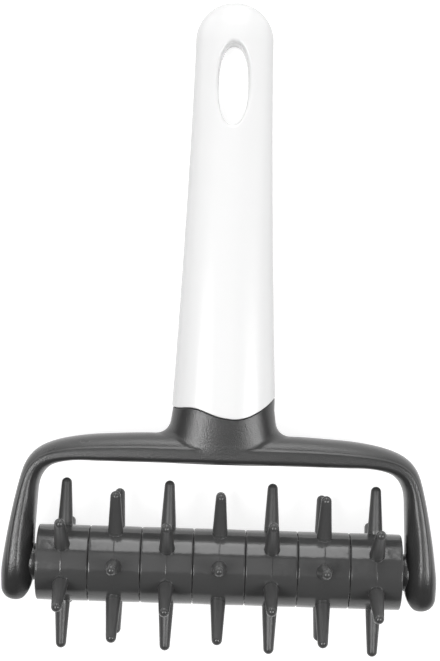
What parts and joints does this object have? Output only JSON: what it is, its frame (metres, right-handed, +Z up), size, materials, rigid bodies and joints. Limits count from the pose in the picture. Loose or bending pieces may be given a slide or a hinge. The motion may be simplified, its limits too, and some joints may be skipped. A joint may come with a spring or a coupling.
{
  "type": "dough docker",
  "caption": "Hand dough docker: spiked rings on a keyed axle turn in a U-shaped yoke whose neck is set in a long oval handle with a hanging hole.",
  "frame": {"origin": "middle of the bounding box at the level of the surface that the docker lies on", "axes": "+X along the roller, +Y from the roller towards the handle's end, +Z up from the surface"},
  "size_m": [0.1342, 0.199, 0.0516],
  "materials": {
    "handle_white": "glossy white moulded plastic",
    "yoke_grey": "satin dark grey moulded plastic",
    "axle_grey": "satin dark grey moulded plastic",
    "ring_grey": "semi-gloss dark grey moulded plastic"
  },
  "bodies": {
    "frame": {"yoke_frame": "yoke_grey", "handle_grip": "handle_white"},
    "roller": {"axle_shaft": "axle_grey", "spike_ring_1": "ring_grey", "spike_ring_2": "ring_grey", "spike_ring_3": "ring_grey", "spike_ring_4": "ring_grey", "spike_ring_5": "ring_grey", "spike_ring_6": "ring_grey", "spike_ring_7": "ring_grey"}
  },
  "joints": [
    {"name": "roller_spin", "type": "hinge", "parent": "frame", "child": "roller", "pos_m": [0, -0.07369, 0.02581], "axis": [1, 0, 0], "continuous": true}
  ]
}
